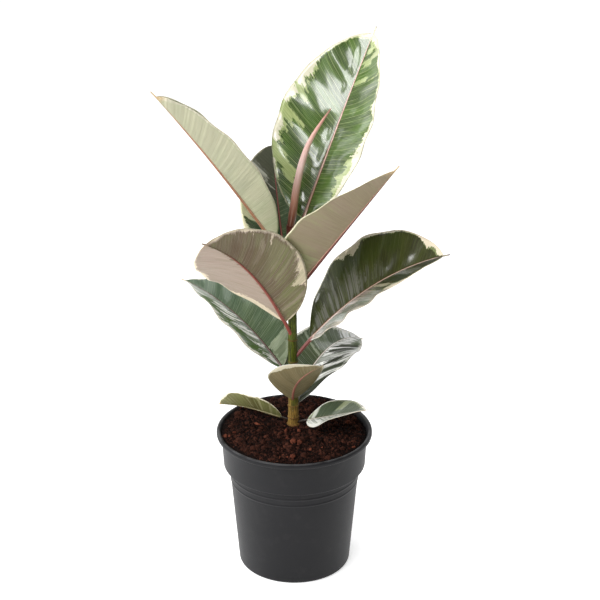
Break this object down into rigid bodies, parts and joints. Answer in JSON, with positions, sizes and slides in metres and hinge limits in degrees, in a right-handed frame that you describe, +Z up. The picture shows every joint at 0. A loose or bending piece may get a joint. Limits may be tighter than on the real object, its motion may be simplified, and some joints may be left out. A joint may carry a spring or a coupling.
{
  "type": "potted rubber plant",
  "caption": "Young variegated rubber plant with broad cream-edged leaves and a pink rolled spear, in a round charcoal nursery pot full of soil.",
  "frame": {"origin": "The middle of the pot's underside, on the plane that the pot rests on.", "axes": "+Z is up along the plant. -Y is the side from which the plant is best seen. +X is to the right of that view."},
  "size_m": [0.304, 0.267, 0.5867],
  "materials": {
    "pot_plastic": "matte charcoal plastic",
    "potting_soil": "loose dark brown potting soil",
    "green_stem": "olive green bark",
    "pink_bud": "smooth pink leaf sheath",
    "variegated_leaf": "glossy green leaf with cream margins"
  },
  "bodies": {
    "root": {"pot": "pot_plastic", "soil": "potting_soil", "stem": "green_stem", "bud_spear": "pink_bud", "leaf_01_low_right": "variegated_leaf", "leaf_02_low_left": "variegated_leaf", "leaf_03_back_right": "variegated_leaf", "leaf_04_front": "variegated_leaf", "leaf_05_left": "variegated_leaf", "leaf_06_right": "variegated_leaf", "leaf_07_front_left": "variegated_leaf", "leaf_08_back": "variegated_leaf", "leaf_09_upper_right": "variegated_leaf", "leaf_10_upper_left": "variegated_leaf", "leaf_11_top": "variegated_leaf"}
  },
  "joints": []
}
